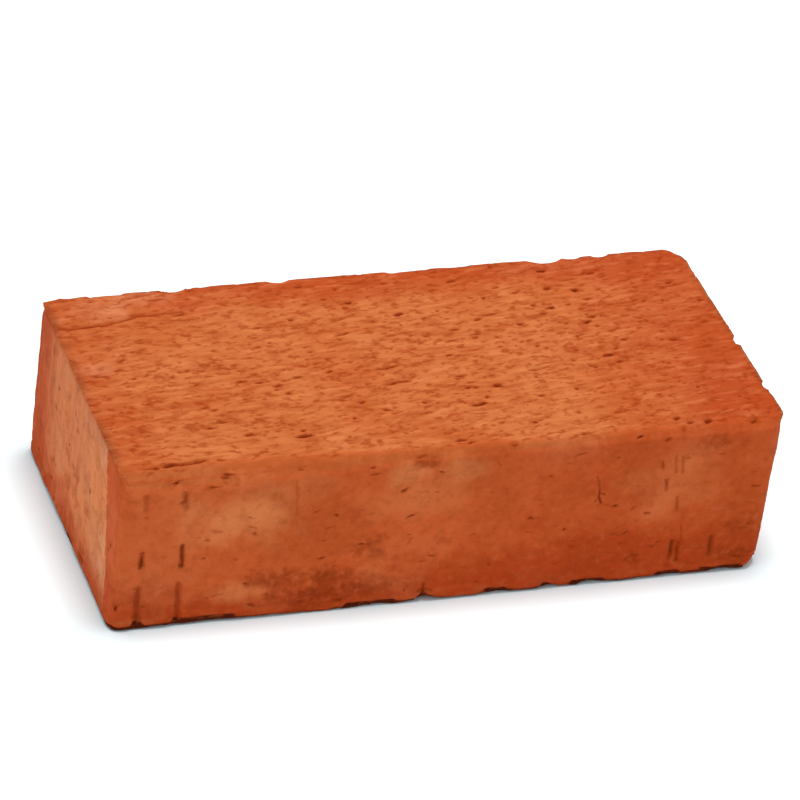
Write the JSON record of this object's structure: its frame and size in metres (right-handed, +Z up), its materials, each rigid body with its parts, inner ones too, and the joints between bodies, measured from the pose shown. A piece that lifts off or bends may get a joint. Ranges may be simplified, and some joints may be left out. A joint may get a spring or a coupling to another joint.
{
  "type": "clay brick",
  "caption": "Solid fired clay brick with smooth die faces, wire-cut beds, one rolled top arris, chipped edges and score lines on a stretcher face.",
  "frame": {"origin": "middle of the lower bed face", "axes": "+X along the length, +Y across the width away from the scored stretcher face, +Z up from the lower bed to the upper bed"},
  "size_m": [0.25, 0.12, 0.065],
  "materials": {
    "fired_clay": "matte"
  },
  "bodies": {
    "root": {"brick": "fired_clay"}
  },
  "joints": []
}
